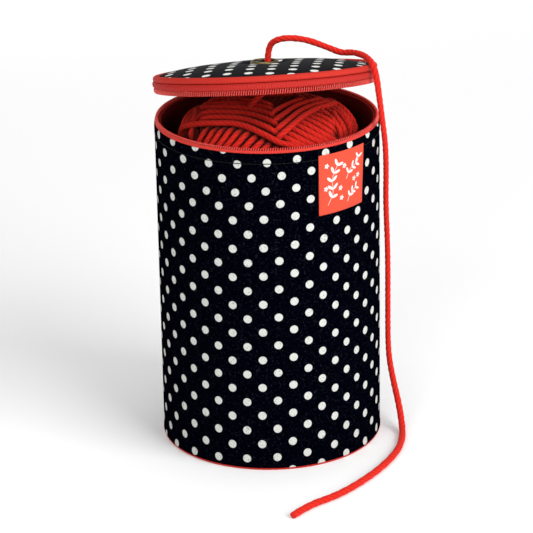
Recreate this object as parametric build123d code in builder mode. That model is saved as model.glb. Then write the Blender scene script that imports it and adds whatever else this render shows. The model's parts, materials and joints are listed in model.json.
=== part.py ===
"""Yarn dispenser box: a soft cylinder with a zipped, padded lid that a strand of yarn leaves
through an eyelet.

Millimetres, +Z up, origin at the centre of the underside. The lid's fabric hinge is at +Y and
the front is at -Y. The lid is modelled part open, at open_angle.
"""

import os
from math import cos, pi, radians, sin, tan

from build123d import *

os.makedirs("parts", exist_ok=True)

# --- Driving dimensions -------------------------------------------------------------------
outside_diameter = 150.0  # over the cotton sleeve
rim_height = 227.0  # floor to the top of the lower zip coil
cotton_thickness = 0.8  # the dotted outer cotton
wadding_thickness = 0.8  # fleece behind the cotton, and the zip tape's thickness above it
stiffener_thickness = 2.0  # card drum that keeps the wall round
lining_thickness = 0.6
seam_gap = 0.1  # slack between pieces that are sewn or laid edge to edge

base_board_thickness = 2.0
base_cord_radius = 1.1  # piping round the foot

tape_depth = 9.5  # lower zip tape, hidden behind the sleeve
coil_height = 3.5  # one half of the zip's coil, up the wall
coil_width = 2.1  # through the wall
coil_rounding = 0.8
parting_gap = 1.0  # between the two coils with the lid shut
stop_arc = 1.5  # degrees of coil that an end stop takes
facing_width = 1.2  # folded lining edge inside the rim
facing_height = 1.6

lid_tape_height = 4.4
lid_cord_radius = 2.2  # piping round the lid's edge
lid_cord_outset = 0.4  # how far it stands proud of the coil
lid_board_thickness = 2.0
dome_rise = 5.4  # from the wadding's edge to the crown of the cotton
pad_edge_thickness = 1.2
lid_side_thickness = 1.0

hinge_half_angle = 28.0  # degrees of the ring each side of +Y with no zip
open_angle = 13.0  # the lid as modelled
hinge_fold_gap = 0.2  # each side of the fold, at the fabric hinge

eyelet_hole_radius = 6.6
eyelet_wall = 0.6
eyelet_flange_radius = 9.5
eyelet_flange_height = 1.2
eyelet_edge_fillet = 0.48
washer_height = 1.0
washer_radius = 10.2

slider_half_arc = 4.5  # degrees
slider_plate = 1.2
slider_reach = 3.4  # up and down from the parting line
slider_clearance = 0.3  # above and below the coils' edges
slider_front_clearance = 0.6
slider_back_clearance = 0.5
slider_end_gap = 0.5  # degrees between the slider and an end stop
bridge_half_arc = 2.2  # degrees
bail_half_arc = 2.8
bail_leg_arc = 0.7
bail_height = 1.6  # clear space under the bail
bail_thickness = 1.0
bail_half_width = 0.8
pull_thickness = 0.9
pull_width = 5.0
pull_length = 20.0
pull_slot_length = 6.4
pull_slot_width = 2.4

label_width = 40.0
label_height = 41.0
label_drop = 8.0  # rim to the label's top edge
label_thickness = 0.5
label_azimuth = -59.0  # degrees from +X

skein_wall_gap = 8.8  # slack between the skein and the lining
skein_height = 97.0
skein_flat_radius = 38.0
skein_shoulder_height = 30.0
lid_to_skein = 2.2  # under the shut lid's lining
spare_clearance = 0.4  # over and under the spare ball
spare_wall_gap = 4.9
spare_flat_radius = 12.0
spare_waist = 12.0  # straight side between its shoulders
yarn_diameter = 4.4
yarn_offset = 3.6  # the strand lies towards one side of the eyelet
yarn_clearance = 0.3  # over the skein
yarn_entry_rise = 1.1  # the strand turns up into the eyelet this far above its washer
yarn_join_rise = 2.7  # the feed meets the tail this far above the lid's board
yarn_exit_rise = 10.1  # the tail's first bend, above the lid's crown

# --- Worked out from the driving dimensions -----------------------------------------------
outer_radius = outside_diameter / 2
sleeve_inner = outer_radius - cotton_thickness
wadding_inner = sleeve_inner - wadding_thickness
stiffener_inner = wadding_inner - stiffener_thickness
lining_inner = stiffener_inner - lining_thickness
coil_inner = sleeve_inner - coil_width
coil_bottom = rim_height - coil_height
tape_bottom = coil_bottom - tape_depth
sleeve_bottom = 2 * base_cord_radius + seam_gap
base_cord_centre = outer_radius - base_cord_radius + seam_gap
base_radius = base_cord_centre - base_cord_radius - 2 * seam_gap
board_bottom = cotton_thickness
board_top = board_bottom + base_board_thickness
floor_top = board_top + lining_thickness

parting_height = rim_height + parting_gap / 2
lid_coil_bottom = rim_height + parting_gap
lid_coil_top = lid_coil_bottom + coil_height
lid_cord_bottom = lid_coil_top + lid_tape_height
lid_cord_height = lid_cord_bottom + lid_cord_radius
lid_cord_centre = sleeve_inner + lid_cord_outset - lid_cord_radius
lid_tape_top = lid_cord_bottom + seam_gap
lid_side_outer = wadding_inner
lid_side_inner = lid_side_outer - lid_side_thickness
lid_board_radius = lid_cord_centre - lid_cord_radius - 2 * seam_gap
lid_lining_top = lid_cord_bottom - seam_gap
lid_lining_bottom = lid_lining_top - lining_thickness
lid_board_top = lid_lining_top + lid_board_thickness
dome_seam_height = lid_board_top + pad_edge_thickness
dome_top = dome_seam_height + dome_rise
pad_top = dome_top - cotton_thickness

zip_start = 90.0 + hinge_half_angle
zip_arc = 360.0 - 2 * hinge_half_angle
coil_start = zip_start + stop_arc
coil_arc = zip_arc - 2 * stop_arc
tab_arc = 2 * (hinge_half_angle - stop_arc / 2)
tab_start = 90.0 - tab_arc / 2
slider_azimuth = 90.0 - hinge_half_angle - stop_arc - slider_half_arc - slider_end_gap

skein_top = lid_lining_bottom - lid_to_skein
skein_bottom = skein_top - skein_height
skein_radius = lining_inner - skein_wall_gap
spare_bottom = floor_top + spare_clearance
spare_top = skein_bottom - spare_clearance
spare_shoulder_height = (spare_top - spare_bottom - spare_waist) / 2
spare_radius = lining_inner - spare_wall_gap
yarn_radius = yarn_diameter / 2

# --- Section planes: radius to the right, height up -----------------------------------------
hinge_y = outer_radius


def on_box(x, y, z):
    """A point of the box, which stands as it is."""
    return Vector(x, y, z)


def on_lid(x, y, z):
    """Where a point of the shut lid is with the lid at open_angle."""
    turn = radians(open_angle)
    back, up = y - hinge_y, z - parting_height
    return Vector(
        x,
        hinge_y + back * cos(turn) + up * sin(turn),
        parting_height + up * cos(turn) - back * sin(turn),
    )


def section(place, azimuth=0.0):
    """The upright plane through the box's or the lid's axis, at an azimuth from +X."""
    turn = radians(azimuth)
    origin = place(0, 0, 0)
    return Plane(
        origin=origin,
        x_dir=place(cos(turn), sin(turn), 0) - origin,
        z_dir=place(sin(turn), -cos(turn), 0) - origin,
    )


body_axis = Axis.Z
lid_axis = Axis(on_lid(0, 0, 0), on_lid(0, 0, 1) - on_lid(0, 0, 0))


def band(inner, outer, bottom, top):
    """Draws the cross-section of a ring from its radii and heights."""
    with Locations(((inner + outer) / 2, (bottom + top) / 2)):
        Rectangle(outer - inner, top - bottom)


def rounded_band(inner, outer, bottom, top, rounding):
    """As band, with rounded corners."""
    with Locations(((inner + outer) / 2, (bottom + top) / 2)):
        RectangleRounded(outer - inner, top - bottom, rounding)


# --- Box wall -----------------------------------------------------------------------------
with BuildPart() as outer_sleeve:
    with BuildSketch(section(on_box)):
        band(sleeve_inner, outer_radius, sleeve_bottom, coil_bottom)
    revolve(axis=body_axis)
outer_sleeve.part.label = "outer_sleeve"

with BuildPart() as wall_wadding:
    with BuildSketch(section(on_box)):
        band(wadding_inner, sleeve_inner, sleeve_bottom, tape_bottom)
    revolve(axis=body_axis)
wall_wadding.part.label = "wall_wadding"

with BuildPart() as wall_stiffener:
    with BuildSketch(section(on_box)):
        band(stiffener_inner, wadding_inner, board_top, coil_bottom - seam_gap)
    revolve(axis=body_axis)
wall_stiffener.part.label = "wall_stiffener"

with BuildPart() as wall_lining:
    with BuildSketch(section(on_box)):
        band(lining_inner, stiffener_inner, board_top, coil_bottom - seam_gap)
    revolve(axis=body_axis)
wall_lining.part.label = "wall_lining"

with BuildPart() as rim_facing:
    with BuildSketch(section(on_box)):
        band(lining_inner, lining_inner + facing_width, coil_bottom - seam_gap, coil_bottom + facing_height)
    revolve(axis=body_axis)
rim_facing.part.label = "rim_facing"

# --- Base ---------------------------------------------------------------------------------
with BuildPart() as base_cover:
    with BuildSketch(Plane.XY):
        Circle(base_radius)
    extrude(amount=board_bottom)
base_cover.part.label = "base_cover"

with BuildPart() as base_board:
    with BuildSketch(Plane.XY.offset(board_bottom)):
        Circle(base_radius)
    extrude(amount=base_board_thickness)
base_board.part.label = "base_board"

with BuildPart() as base_lining:
    with BuildSketch(Plane.XY.offset(board_top)):
        Circle(lining_inner - seam_gap)
    extrude(amount=lining_thickness)
base_lining.part.label = "base_lining"

with BuildPart() as base_piping:
    with BuildSketch(section(on_box)):
        with Locations((base_cord_centre, base_cord_radius)):
            Circle(base_cord_radius)
    revolve(axis=body_axis)
base_piping.part.label = "base_piping"

# --- Lower half of the zip ----------------------------------------------------------------
with BuildPart() as lower_zip_tape:
    with BuildSketch(section(on_box, zip_start)):
        band(wadding_inner, sleeve_inner, tape_bottom, coil_bottom)
    revolve(axis=body_axis, revolution_arc=zip_arc)
lower_zip_tape.part.label = "lower_zip_tape"

with BuildPart() as lower_zip_coil:
    with BuildSketch(section(on_box, coil_start)):
        rounded_band(coil_inner, sleeve_inner, coil_bottom, rim_height, coil_rounding)
    revolve(axis=body_axis, revolution_arc=coil_arc)
lower_zip_coil.part.label = "lower_zip_coil"

with BuildPart() as lower_zip_stops:
    for start in (zip_start, zip_start + zip_arc - stop_arc):
        with BuildSketch(section(on_box, start)):
            band(coil_inner, sleeve_inner, coil_bottom, rim_height)
        revolve(axis=body_axis, revolution_arc=stop_arc)
lower_zip_stops.part.label = "lower_zip_stops"

# The hinge is one doubled strip of cotton. Its lower half is sewn in where the zip tape leaves
# off, and stops at the fold; its upper half turns with the lid.
with BuildPart() as hinge_tab:
    with BuildSketch(section(on_box, tab_start)):
        band(wadding_inner, sleeve_inner, tape_bottom, coil_bottom)
        band(coil_inner, outer_radius, coil_bottom, parting_height - hinge_fold_gap)
    revolve(axis=body_axis, revolution_arc=tab_arc)
hinge_tab.part.label = "hinge_tab"

# --- Label --------------------------------------------------------------------------------
label_arc = label_width / outer_radius * 180 / pi
label_top = rim_height - label_drop
with BuildPart() as side_label:
    with BuildSketch(section(on_box, label_azimuth - label_arc / 2)):
        band(outer_radius, outer_radius + label_thickness, label_top - label_height, label_top)
    revolve(axis=body_axis, revolution_arc=label_arc)
side_label.part.label = "side_label"

# --- Lid ----------------------------------------------------------------------------------
with BuildPart() as lid_piping:
    with BuildSketch(section(on_lid)):
        with Locations((lid_cord_centre, lid_cord_height)):
            Circle(lid_cord_radius)
    revolve(axis=lid_axis)
lid_piping.part.label = "lid_piping"

with BuildPart() as upper_zip_tape:
    with BuildSketch(section(on_lid, zip_start)):
        band(wadding_inner, sleeve_inner, lid_coil_top, lid_tape_top)
    revolve(axis=lid_axis, revolution_arc=zip_arc)
upper_zip_tape.part.label = "upper_zip_tape"

with BuildPart() as upper_zip_coil:
    with BuildSketch(section(on_lid, coil_start)):
        rounded_band(coil_inner, sleeve_inner, lid_coil_bottom, lid_coil_top, coil_rounding)
    revolve(axis=lid_axis, revolution_arc=coil_arc)
upper_zip_coil.part.label = "upper_zip_coil"

with BuildPart() as upper_zip_stops:
    for start in (zip_start, zip_start + zip_arc - stop_arc):
        with BuildSketch(section(on_lid, start)):
            band(coil_inner, sleeve_inner, lid_coil_bottom, lid_coil_top)
        revolve(axis=lid_axis, revolution_arc=stop_arc)
upper_zip_stops.part.label = "upper_zip_stops"

with BuildPart() as lid_hinge_tab:
    with BuildSketch(section(on_lid, tab_start)):
        band(wadding_inner, outer_radius, parting_height + hinge_fold_gap, lid_coil_top)
        band(wadding_inner, sleeve_inner, lid_coil_top, lid_tape_top)
    revolve(axis=lid_axis, revolution_arc=tab_arc)
lid_hinge_tab.part.label = "lid_hinge_tab"

with BuildPart() as lid_side_lining:
    with BuildSketch(section(on_lid)):
        band(lid_side_inner, lid_side_outer, lid_coil_top, lid_cord_bottom - seam_gap)
    revolve(axis=lid_axis)
lid_side_lining.part.label = "lid_side_lining"

barrel_outer = eyelet_hole_radius + eyelet_wall
with BuildPart() as lid_lining:
    with BuildSketch(section(on_lid)):
        band(barrel_outer, lid_side_inner - seam_gap, lid_lining_bottom, lid_lining_top)
    revolve(axis=lid_axis)
lid_lining.part.label = "lid_lining"

with BuildPart() as lid_board:
    with BuildSketch(section(on_lid)):
        band(barrel_outer, lid_board_radius, lid_lining_top, lid_board_top)
    revolve(axis=lid_axis)
lid_board.part.label = "lid_board"


def dome_height(radius, seam, crown):
    """Height of a shallow round dome at a radius, from its seam to its crown."""
    return crown - (crown - seam) * (radius / lid_board_radius) ** 2


# The wadding is a lens on the board, and the cotton lies over it.
pad_edge = (lid_board_radius, dome_seam_height)
with BuildPart() as lid_wadding:
    with BuildSketch(section(on_lid)):
        with BuildLine():
            Polyline(
                (barrel_outer, dome_height(barrel_outer, dome_seam_height, pad_top)),
                (barrel_outer, lid_board_top),
                (lid_board_radius, lid_board_top),
                pad_edge,
            )
            middle = (lid_board_radius + barrel_outer) / 2
            ThreePointArc(
                pad_edge,
                (middle, dome_height(middle, dome_seam_height, pad_top)),
                (barrel_outer, dome_height(barrel_outer, dome_seam_height, pad_top)),
            )
        make_face()
    revolve(axis=lid_axis)
lid_wadding.part.label = "lid_wadding"

with BuildPart() as lid_cotton:
    with BuildSketch(section(on_lid)):
        with BuildLine():
            inner_low = (barrel_outer, dome_height(barrel_outer, dome_seam_height, pad_top))
            inner_high = (barrel_outer, inner_low[1] + cotton_thickness)
            cotton_edge = (lid_board_radius, dome_seam_height + cotton_thickness)
            Line(inner_low, inner_high)
            ThreePointArc(
                inner_high,
                (middle, dome_height(middle, dome_seam_height, pad_top) + cotton_thickness),
                cotton_edge,
            )
            Line(cotton_edge, pad_edge)
            ThreePointArc(
                pad_edge, (middle, dome_height(middle, dome_seam_height, pad_top)), inner_low
            )
        make_face()
    revolve(axis=lid_axis)
lid_cotton.part.label = "lid_cotton"

# --- Eyelet: a flanged barrel from above, rolled over a washer below ------------------------
flange_bottom = dome_height(barrel_outer, dome_seam_height, pad_top) + cotton_thickness
flange_top = flange_bottom + eyelet_flange_height
washer_top = lid_lining_bottom
barrel_bottom = washer_top - washer_height
with BuildPart() as eyelet:
    with BuildSketch(section(on_lid)):
        band(eyelet_hole_radius, barrel_outer, barrel_bottom, flange_top)
        band(eyelet_hole_radius, eyelet_flange_radius, flange_bottom, flange_top)
    revolve(axis=lid_axis)
    fillet(
        eyelet.edges().filter_by(GeomType.CIRCLE).sort_by(lid_axis)[-2:],
        eyelet_edge_fillet,
    )
eyelet.part.label = "eyelet"

with BuildPart() as eyelet_washer:
    with BuildSketch(section(on_lid)):
        band(barrel_outer, washer_radius, barrel_bottom, washer_top)
    revolve(axis=lid_axis)
eyelet_washer.part.label = "eyelet_washer"

# --- Zip slider ---------------------------------------------------------------------------
# Two curved plates each side of the coils, joined by a bridge in the parting gap. The lower
# edges stay above the sleeve and the facing.
front_plate_inner = sleeve_inner + slider_front_clearance
front_plate_outer = front_plate_inner + slider_plate
back_plate_outer = coil_inner - slider_back_clearance
back_plate_inner = back_plate_outer - slider_plate
slider_top = parting_height + slider_reach
front_plate_bottom = coil_bottom + slider_clearance
back_plate_bottom = coil_bottom + facing_height + slider_clearance
bridge_half = parting_gap / 2 - slider_clearance
with BuildPart() as zip_slider:
    with BuildSketch(section(on_box, slider_azimuth - slider_half_arc)):
        band(front_plate_inner, front_plate_outer, front_plate_bottom, slider_top)
        band(back_plate_inner, back_plate_outer, back_plate_bottom, slider_top)
    revolve(axis=body_axis, revolution_arc=2 * slider_half_arc)
    with BuildSketch(section(on_box, slider_azimuth - bridge_half_arc)):
        bridge_low, bridge_high = parting_height - bridge_half, parting_height + bridge_half
        band(back_plate_outer, front_plate_inner, bridge_low, bridge_high)
    revolve(axis=body_axis, revolution_arc=2 * bridge_half_arc)
    bail_inner = front_plate_outer + bail_height
    bail_outer = bail_inner + bail_thickness
    bail_low = parting_height - bail_half_width
    bail_high = parting_height + bail_half_width
    with BuildSketch(section(on_box, slider_azimuth - bail_half_arc)):
        band(bail_inner, bail_outer, bail_low, bail_high)
    revolve(axis=body_axis, revolution_arc=2 * bail_half_arc)
    for leg_start in (slider_azimuth - bail_half_arc, slider_azimuth + bail_half_arc - bail_leg_arc):
        with BuildSketch(section(on_box, leg_start)):
            band(front_plate_outer, bail_outer, bail_low, bail_high)
        revolve(axis=body_axis, revolution_arc=bail_leg_arc)
zip_slider.part.label = "zip_slider"

# --- Pull: a flat tab whose cross bar turns under the bail ----------------------------------
pivot_radius = front_plate_outer + bail_height / 2
pull_centre = Plane(
    origin=(
        pivot_radius * cos(radians(slider_azimuth)),
        pivot_radius * sin(radians(slider_azimuth)),
        parting_height,
    ),
    # The tab lies along the wall, away from the hinge.
    x_dir=(sin(radians(slider_azimuth)), -cos(radians(slider_azimuth)), 0),
    z_dir=(cos(radians(slider_azimuth)), sin(radians(slider_azimuth)), 0),
)
with BuildPart() as zip_pull:
    with BuildSketch(pull_centre.offset(-pull_thickness / 2)):
        with Locations((pull_length / 2 - pull_thickness / 2, 0)):
            RectangleRounded(pull_length, pull_width, pull_width / 2 - pull_thickness)
        with Locations((pull_thickness / 2 + pull_slot_length / 2, 0)):
            Rectangle(pull_slot_length, pull_slot_width, mode=Mode.SUBTRACT)
        with Locations((pull_length - pull_width / 2 - pull_thickness, 0)):
            Circle(pull_thickness, mode=Mode.SUBTRACT)
    extrude(amount=pull_thickness)
zip_pull.part.label = "zip_pull"

# --- Yarn -----------------------------------------------------------------------------------
def half_ball(radius, flat_radius, shoulder_height, bottom, top):
    """Draws half the outline of a ball of yarn: flat at both ends, with elliptical shoulders."""
    shoulder_width = radius - flat_radius
    low_centre = (flat_radius, bottom + shoulder_height)
    high_centre = (flat_radius, top - shoulder_height)
    Polyline((flat_radius, top), (0, top), (0, bottom), (flat_radius, bottom))
    EllipticalCenterArc(low_centre, shoulder_width, shoulder_height, start_angle=270, arc_size=90)
    Line((radius, low_centre[1]), (radius, high_centre[1]))
    EllipticalCenterArc(high_centre, shoulder_width, shoulder_height, start_angle=0, arc_size=90)


with BuildPart() as yarn_skein:
    with BuildSketch(section(on_box)):
        with BuildLine():
            half_ball(skein_radius, skein_flat_radius, skein_shoulder_height, skein_bottom, skein_top)
        make_face()
    revolve(axis=body_axis)
yarn_skein.part.label = "yarn_skein"

with BuildPart() as spare_yarn_ball:
    with BuildSketch(section(on_box)):
        with BuildLine():
            half_ball(spare_radius, spare_flat_radius, spare_shoulder_height, spare_bottom, spare_top)
        make_face()
    revolve(axis=body_axis)
spare_yarn_ball.part.label = "spare_yarn_ball"

# One strand of limp yarn, in two lengths that meet inside the eyelet: the feed rises from the
# skein, and the tail arches over the lid, hangs down the side and lies on the floor.
eyelet_join = on_lid(yarn_offset, 0, lid_board_top + yarn_join_rise)
feed_route = [
    Vector(-20.0, -7.0, skein_top + yarn_radius + yarn_clearance),
    Vector(-7.0, -3.5, 237.0),
    Vector(1.5, 0.4, 244.8),
    on_lid(yarn_offset, 0, lid_lining_bottom + yarn_entry_rise),
    eyelet_join,
]
tail_route = [
    eyelet_join,
    on_lid(yarn_offset, 0, dome_top + yarn_exit_rise),
    Vector(9.7, 1.0, 278.0),
    Vector(25.6, -0.8, 276.8),
    Vector(41.0, -3.6, 270.6),
    Vector(49.4, -7.4, 267.2),
    Vector(55.6, -13.0, 269.0),
    Vector(59.8, -20.6, 269.4),
    Vector(62.4, -28.8, 269.3),
    Vector(64.4, -36.3, 267.1),
    Vector(65.8, -40.6, 259.6),
    Vector(67.6, -40.6, 245.5),
    Vector(69.6, -42.1, 228.5),
    Vector(72.3, -38.4, 211.0),
    Vector(74.6, -30.0, 190.0),
    Vector(75.6, -24.0, 167.0),
    Vector(77.6, -22.0, 130.0),
    Vector(77.9, -20.5, 86.0),
    Vector(78.2, -20.0, 56.0),
    Vector(81.2, -20.0, 37.0),
    Vector(85.9, -21.8, 14.4),
    Vector(85.4, -34.0, yarn_radius),
    Vector(81.2, -50.0, yarn_radius),
    Vector(74.6, -66.0, yarn_radius),
    Vector(61.8, -85.0, yarn_radius),
    Vector(43.0, -106.0, yarn_radius),
    Vector(20.5, -125.0, yarn_radius),
    Vector(-0.5, -135.0, yarn_radius),
    Vector(-13.2, -147.4, yarn_radius),
]


def bend_radii(route):
    """The largest arc that fits each corner: 0.45 of its shorter run over tan(half the turn)."""
    radii = []
    for before, corner, after in zip(route, route[1:], route[2:]):
        shorter = min((corner - before).length, (after - corner).length)
        turn = radians((corner - before).get_angle(after - corner))
        radii.append(0.45 * shorter / tan(turn / 2))
    return radii


def report_strand(name, route, part, path_length):
    """Prints the arcs and compares the tube's volume with its section times its length."""
    print(name, "length", round(path_length, 1), "radii", [round(r, 1) for r in bend_radii(route)])
    expected = pi * yarn_radius**2 * path_length
    print(name, "volume", round(part.volume, 1), "section x length", round(expected, 1))


with BuildPart() as yarn_feed:
    with BuildLine():
        feed_path = FilletPolyline(*feed_route, radius=bend_radii(feed_route))
    with BuildSketch(Plane(origin=feed_route[0], z_dir=feed_route[1] - feed_route[0])):
        Circle(yarn_radius)
    sweep()
yarn_feed.part.label = "yarn_feed"
report_strand("yarn_feed", feed_route, yarn_feed.part, feed_path.length)

with BuildPart() as yarn_tail:
    with BuildLine():
        tail_path = FilletPolyline(*tail_route, radius=bend_radii(tail_route))
    with BuildSketch(Plane(origin=tail_route[0], z_dir=tail_route[1] - tail_route[0])):
        Circle(yarn_radius)
    sweep()
yarn_tail.part.label = "yarn_tail"
report_strand("yarn_tail", tail_route, yarn_tail.part, tail_path.length)

# --- Files ----------------------------------------------------------------------------------
for piece in (
    outer_sleeve, wall_wadding, wall_stiffener, wall_lining, rim_facing,
    base_cover, base_board, base_lining, base_piping,
    lower_zip_tape, lower_zip_coil, lower_zip_stops, hinge_tab, side_label,
    lid_piping, upper_zip_tape, upper_zip_coil, upper_zip_stops, lid_hinge_tab,
    lid_side_lining, lid_lining, lid_board, lid_wadding, lid_cotton,
    eyelet, eyelet_washer, zip_slider, zip_pull,
    yarn_skein, spare_yarn_ball, yarn_feed, yarn_tail,
):
    export_step(piece.part, f"parts/{piece.part.label}.step")
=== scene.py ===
"""Looks of the yarn dispenser box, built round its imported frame.

A zipped cotton box with a padded lid. One strand of yarn leaves it through an eyelet. Lengths are
written in millimetres and turned into metres once, where a mesh is made.
"""

import json
import random
from math import atan2, ceil, cos, exp, hypot, pi, radians, sin

import bmesh
import bpy
from mathutils import Matrix, Vector


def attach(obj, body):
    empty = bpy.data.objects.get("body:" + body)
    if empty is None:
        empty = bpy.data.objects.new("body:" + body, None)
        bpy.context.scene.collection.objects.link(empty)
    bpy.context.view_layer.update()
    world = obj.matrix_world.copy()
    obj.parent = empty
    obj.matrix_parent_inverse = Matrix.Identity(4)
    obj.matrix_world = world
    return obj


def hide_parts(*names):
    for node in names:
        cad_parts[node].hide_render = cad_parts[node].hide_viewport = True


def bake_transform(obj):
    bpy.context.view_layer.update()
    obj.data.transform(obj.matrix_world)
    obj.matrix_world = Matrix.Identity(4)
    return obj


MM = 0.001
UP = Vector((0, 0, 1))
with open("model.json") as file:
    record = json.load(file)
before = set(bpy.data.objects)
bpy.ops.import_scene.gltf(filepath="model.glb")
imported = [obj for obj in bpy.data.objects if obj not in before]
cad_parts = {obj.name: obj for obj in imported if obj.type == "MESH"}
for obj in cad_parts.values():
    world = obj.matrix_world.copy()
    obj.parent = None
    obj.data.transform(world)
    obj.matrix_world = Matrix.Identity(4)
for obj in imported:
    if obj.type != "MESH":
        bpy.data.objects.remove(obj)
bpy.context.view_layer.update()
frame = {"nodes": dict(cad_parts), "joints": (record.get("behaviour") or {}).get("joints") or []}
scatter = random.Random(11)

# --- Sizes, read from the frame where it has them -------------------------------------------
lid_hinge = next(joint for joint in frame["joints"] if joint["name"] == "lid_hinge")
HINGE_Y, HINGE_Z = (value / MM for value in lid_hinge["pos_m"][1:])
OPEN_ANGLE = radians(-lid_hinge["range_deg"][0])
hinge_point = Vector((0, HINGE_Y, HINGE_Z))


def about_hinge(angle):
    """The turn about the lid's hinge that lifts its front by an angle, for points in mm."""
    there = Matrix.Translation(hinge_point)
    return there @ Matrix.Rotation(-angle, 4, "X") @ there.inverted()


OPENING = about_hinge(OPEN_ANGLE)
SHUTTING = OPENING.inverted()


def ring_size(node, turned_back=False):
    """Outer radius, lowest and highest height of a round CAD node, in mm, with the lid shut."""
    turn = SHUTTING if turned_back else Matrix.Identity(4)
    corners = [turn @ (vertex.co / MM) for vertex in frame["nodes"][node].data.vertices]
    heights = [corner.z for corner in corners]
    return max(hypot(corner.x, corner.y) for corner in corners), min(heights), max(heights)


WALL_R, SLEEVE_LOW, SLEEVE_TOP = ring_size("outer_sleeve")
COIL_R, COIL_LOW, COIL_TOP = ring_size("lower_zip_coil")
_, LID_COIL_LOW, LID_COIL_TOP = ring_size("upper_zip_coil", True)
TAPE_R, TAPE_LOW, TAPE_TOP = ring_size("upper_zip_tape", True)
PIPING_OUTER, PIPING_LOW, PIPING_TOP = ring_size("lid_piping", True)
PIPING_R = (PIPING_TOP - PIPING_LOW) / 2
FOOT_OUTER, FOOT_LOW, FOOT_TOP = ring_size("base_piping")
FOOT_R = (FOOT_TOP - FOOT_LOW) / 2
BASE_R, BASE_LOW, BASE_TOP = ring_size("base_cover")
DOME_R, DOME_SEAM, DOME_TOP = ring_size("lid_cotton", True)
_, _, BOARD_TOP = ring_size("lid_board", True)
LINING_R, FLOOR, _ = ring_size("wall_lining")
FACING_R, FACING_LOW, FACING_TOP = ring_size("rim_facing")
SIDE_R, SIDE_LOW, SIDE_TOP = ring_size("lid_side_lining", True)
LID_LINING_R, LID_LINING_LOW, LID_LINING_TOP = ring_size("lid_lining", True)
FLANGE_R, BARREL_LOW, FLANGE_TOP = ring_size("eyelet", True)
WASHER_R, WASHER_LOW, WASHER_TOP = ring_size("eyelet_washer", True)
LABEL_R, LABEL_LOW, LABEL_TOP = ring_size("side_label")
_, HINGE_LOW, _ = ring_size("hinge_tab")
_, FLOOR_LOW, FLOOR_TOP = ring_size("base_lining")
SKEIN_R, SKEIN_LOW, SKEIN_TOP = ring_size("yarn_skein")
SPARE_R, SPARE_LOW, SPARE_TOP = ring_size("spare_yarn_ball")
# Sizes in mm, and angles in degrees from +X, that the frame doesn't hold.
DOME_RISE = 5.4
COTTON = 0.8
COIL_WIDTH = 2.1
EYELET_HOLE = 6.6
BARREL_R = 7.2
ZIP_START, ZIP_ARC, STOP_ARC = 118.0, 304.0, 1.5
TAB_START, TAB_ARC = 62.75, 54.5
LABEL_AZIMUTH, LABEL_WIDTH = -59.0, 40.0
YARN_R = 2.2
PLIES = 4


# --- Materials ------------------------------------------------------------------------------
def linear(code):
    """Linear colour from an sRGB hex code."""
    parts = [int(code[i:i + 2], 16) / 255 for i in (1, 3, 5)]
    return [p / 12.92 if p <= 0.04045 else ((p + 0.055) / 1.055) ** 2.4 for p in parts] + [1.0]


def add(tree, kind, inputs, output=0, **settings):
    """Adds a shader node and gives an output of it; an input is a socket to link or a value to set."""
    node = tree.nodes.new("ShaderNode" + kind)
    for name, value in settings.items():
        setattr(node, name, value)
    for name, value in inputs.items():
        if isinstance(value, bpy.types.NodeSocket):
            tree.links.new(value, node.inputs[name])
        else:
            node.inputs[name].default_value = value
    return node.outputs[output]


def material(name, code, roughness, shine=0.5, **extra):
    """A Principled material; shine is its specular level, and extra holds other sockets' values."""
    made = bpy.data.materials.new(name)
    made.use_nodes = True
    made.diffuse_color = linear(code)
    shader = made.node_tree.nodes["Principled BSDF"]
    shader.inputs["Base Color"].default_value = linear(code)
    shader.inputs["Roughness"].default_value = roughness
    shader.inputs["Specular IOR Level"].default_value = shine
    for socket, value in extra.items():
        shader.inputs[socket.replace("_", " ")].default_value = value
    return made


def to_shader(made, socket, source):
    """Links a node's output to a socket of the material's shader."""
    made.node_tree.links.new(source, made.node_tree.nodes["Principled BSDF"].inputs[socket])


def grain(made, size, depth, detail=3.0):
    """Uneven fibres: noise about size mm across and depth mm high."""
    tree = made.node_tree
    place = add(tree, "TexCoord", {}, "Object")
    noise = add(tree, "TexNoise", {"Vector": place, "Scale": 1 / (size * MM), "Detail": detail}, "Fac")
    to_shader(made, "Normal", add(tree, "Bump", {"Height": noise, "Distance": depth * MM}))


def ribs(made, across, up, depth):
    """Raised lines on the cloth map, depth mm high: so many to a mm across, and to a mm up."""
    tree = made.node_tree
    cloth = add(tree, "UVMap", {}, uv_map="cloth")
    turns = add(tree, "VectorMath", {0: cloth, 1: (2 * pi * across, 2 * pi * up, 0.0)}, "Value",
                operation="DOT_PRODUCT")
    wave = add(tree, "Math", {0: turns}, operation="SINE")
    to_shader(made, "Normal", add(tree, "Bump", {"Height": wave, "Distance": depth / 2 * MM}))


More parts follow.
